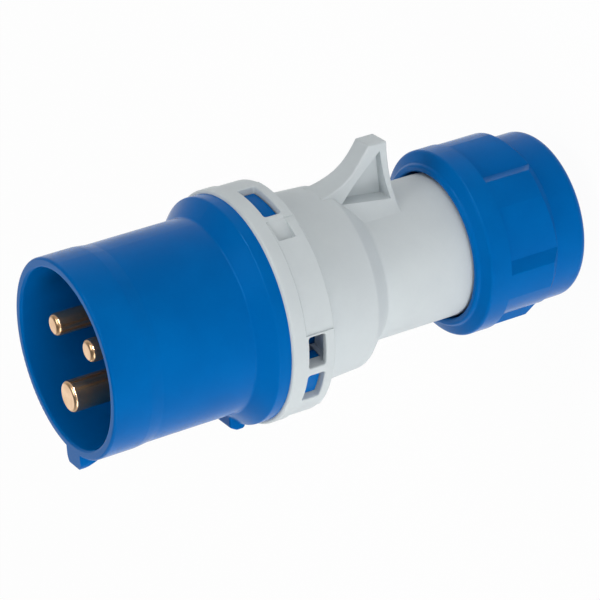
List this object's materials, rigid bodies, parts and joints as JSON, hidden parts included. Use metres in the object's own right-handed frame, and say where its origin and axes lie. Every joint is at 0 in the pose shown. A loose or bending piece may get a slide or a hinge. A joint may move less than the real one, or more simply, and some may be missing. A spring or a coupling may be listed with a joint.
{
  "type": "industrial pin and sleeve plug",
  "caption": "Straight industrial pin and sleeve plug: blue keyed sleeve around brass contact pins, grey bayonet housing with a lid-catch fin, and a blue screw-on cable gland nut.",
  "frame": {"origin": "centre of the gland nut's end face, where the plug stands", "axes": "+Z along the plug axis from the gland to the mouth of the sleeve, +X towards the fin; the key, the flange lug and the earth pin lie on the -X side"},
  "size_m": [0.0569, 0.0522, 0.1206],
  "materials": {
    "blue_plastic": "smooth moulded polyamide, satin",
    "grey_plastic": "smooth moulded polyamide, satin",
    "brass": "turned and polished",
    "plated_steel": "zinc plated",
    "natural_nylon": "natural polyamide",
    "black_rubber": "soft matt rubber"
  },
  "bodies": {
    "plug": {"sleeve_insert": "blue_plastic", "line_pin": "brass", "neutral_pin": "brass", "earth_pin": "brass", "line_screw": "plated_steel", "neutral_screw": "plated_steel", "earth_screw": "plated_steel", "pin_retainer": "blue_plastic", "retainer_screw": "plated_steel", "ring_seal": "black_rubber", "rear_housing": "grey_plastic", "clamp_cage": "natural_nylon", "cable_seal": "black_rubber"},
    "gland_washer": {"thrust_ring": "natural_nylon"},
    "nut": {"gland_nut": "blue_plastic"}
  },
  "joints": [
    {"name": "gland_travel", "type": "slide", "parent": "plug", "child": "gland_washer", "axis": [0, 0, -1], "range_m": [0, 0.006]},
    {"name": "gland_turn", "type": "hinge", "parent": "gland_washer", "child": "nut", "pos_m": [0, 0, 0.02], "axis": [0, 0, -1], "range_deg": [0, 720]}
  ],
  "couplings": [
    {"joint": "gland_travel", "follows": "gland_turn", "m_per_rad": 0.00047746}
  ]
}
